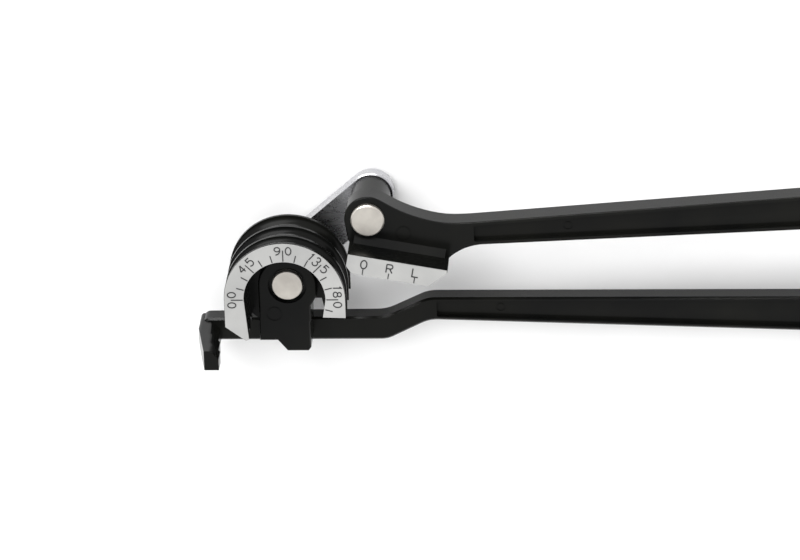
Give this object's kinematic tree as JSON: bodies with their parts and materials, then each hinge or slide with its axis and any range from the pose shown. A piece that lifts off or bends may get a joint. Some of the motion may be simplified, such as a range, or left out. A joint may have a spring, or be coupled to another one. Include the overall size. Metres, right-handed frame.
{
  "type": "manual tube bender",
  "caption": "Hand lever tube bender with a three-groove half-round forming wheel, a stepped tube hook, a grooved shoe and two handles joined by a link.",
  "frame": {"origin": "on the forming wheel's axis, at the flat tail of the centre pin, the tool's lowest face as it lies on its back", "axes": "+X along the lower handle from wheel to grip end, +Y across the handles from the lower to the upper one, +Z along the wheel's axis out of the scale faces"},
  "size_m": [0.2633, 0.0691, 0.0467],
  "materials": {
    "black_enamel": "gloss black enamel on die-cast aluminium",
    "scale_strip": "satin silver strip",
    "mark_ink": "black ink filled marks",
    "plated_link": "zinc plated steel",
    "nickel_pin": "turned, nickel plated",
    "bronze_bush": "sintered bronze",
    "washer_nylon": "natural nylon",
    "zinc_hardware": "zinc plated",
    "spring_steel": "phosphated spring steel"
  },
  "bodies": {
    "former": {"lower_handle": "black_enamel", "forming_wheel": "black_enamel", "wheel_screws": "spring_steel", "wheel_dowels": "zinc_hardware", "angle_scale": "scale_strip", "angle_scale_marks": "mark_ink", "centre_pin": "nickel_pin", "centre_clip": "spring_steel", "centre_back_washer": "zinc_hardware"},
    "link": {"link_plate": "plated_link", "link_centre_bush": "bronze_bush", "link_handle_bush": "bronze_bush", "centre_thrust_washer": "washer_nylon", "handle_thrust_washer": "washer_nylon"},
    "shoe_handle": {"upper_handle": "black_enamel", "shoe_scale": "scale_strip", "shoe_scale_marks": "mark_ink", "handle_pin": "nickel_pin", "handle_clip": "spring_steel", "handle_back_washer": "zinc_hardware"}
  },
  "joints": [
    {"name": "link_swing", "type": "hinge", "parent": "former", "child": "link", "pos_m": [0, 0, 0.0049], "axis": [0, 0, 1], "range_deg": [-35, 145]},
    {"name": "handle_swing", "type": "hinge", "parent": "link", "child": "shoe_handle", "pos_m": [0.0328, 0.02842, 0.0049], "axis": [0, 0, 1], "range_deg": [-48, 100]}
  ]
}
